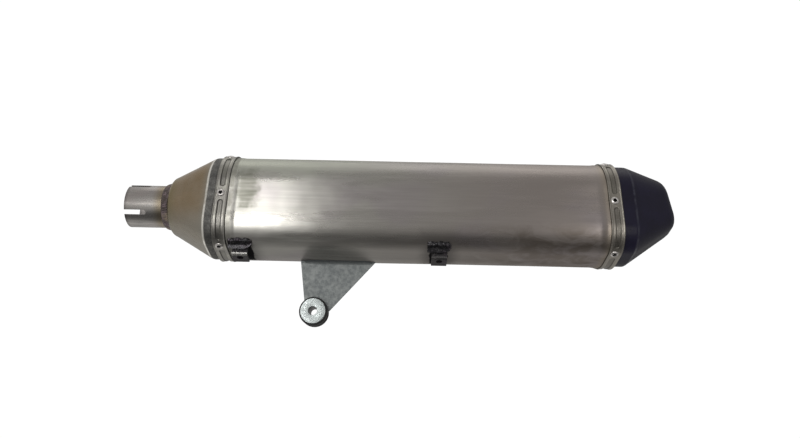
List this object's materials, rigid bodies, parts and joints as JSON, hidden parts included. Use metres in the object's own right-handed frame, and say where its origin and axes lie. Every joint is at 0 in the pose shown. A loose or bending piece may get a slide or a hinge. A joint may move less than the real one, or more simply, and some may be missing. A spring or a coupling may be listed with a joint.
{
  "type": "exhaust muffler",
  "caption": "Motorcycle slip-on exhaust muffler: slotted inlet pipe and cone, shield-section steel sleeve with riveted end bands, black tapered outlet cap, rubber-bushed hanger plate.",
  "frame": {"origin": "centre of the inlet pipe's open mouth, on the body axis", "axes": "+X runs along the body axis from inlet to outlet. +Z points away from the hanger plate, which hangs down in the XZ plane. -Y is the outer side, which carries the heat-shield tabs. On the motorcycle the part is turned half a turn about X, so that the hanger is on top."},
  "size_m": [0.5611, 0.0958, 0.175],
  "materials": {
    "stainless_steel": "stainless steel polished lengthwise, slightly heat stained",
    "heat_tinted_steel": "stainless steel tinted bronze by heat, satin",
    "weld_metal": "rippled weld bead, dark purple-grey oxide",
    "inner_steel": "plain mill finish",
    "hanger_steel": "matt blasted steel, blue-grey",
    "sooted_steel": "heat-blackened steel with bright worn edges",
    "black_coating": "satin black high-temperature coating",
    "zinc_plate": "bright zinc plating",
    "rubber": "matt black rubber",
    "glass_wool": "long-strand glass wool"
  },
  "bodies": {
    "muffler": {"inlet_pipe": "stainless_steel", "inlet_weld_bead": "weld_metal", "inlet_cone": "heat_tinted_steel", "body_sleeve": "stainless_steel", "front_band": "stainless_steel", "rear_band": "stainless_steel", "front_end_plate": "inner_steel", "rear_end_plate": "inner_steel", "perforated_core": "inner_steel", "packing_mesh_wrap": "inner_steel", "packing": "glass_wool", "rear_cap": "black_coating", "outlet_tube": "stainless_steel", "front_rivet_1": "stainless_steel", "front_rivet_2": "stainless_steel", "front_rivet_3": "stainless_steel", "front_rivet_4": "stainless_steel", "front_rivet_5": "stainless_steel", "front_rivet_6": "stainless_steel", "rear_rivet_1": "stainless_steel", "rear_rivet_2": "stainless_steel", "rear_rivet_3": "stainless_steel", "rear_rivet_4": "stainless_steel", "rear_rivet_5": "stainless_steel", "rear_rivet_6": "stainless_steel", "hanger_plate": "hanger_steel", "hanger_weld_outer": "weld_metal", "hanger_weld_inner": "weld_metal", "hanger_grommet": "rubber", "heat_shield_tab_front": "sooted_steel", "heat_shield_tab_rear": "sooted_steel", "tab_weld_front": "weld_metal", "tab_weld_rear": "weld_metal"},
    "collar": {"hanger_collar": "zinc_plate", "hanger_collar_rear": "zinc_plate"}
  },
  "joints": [
    {"name": "hanger_collar_spin", "type": "hinge", "parent": "muffler", "child": "collar", "pos_m": [0.1968, 0, -0.1068], "axis": [0, 1, 0], "continuous": true}
  ]
}
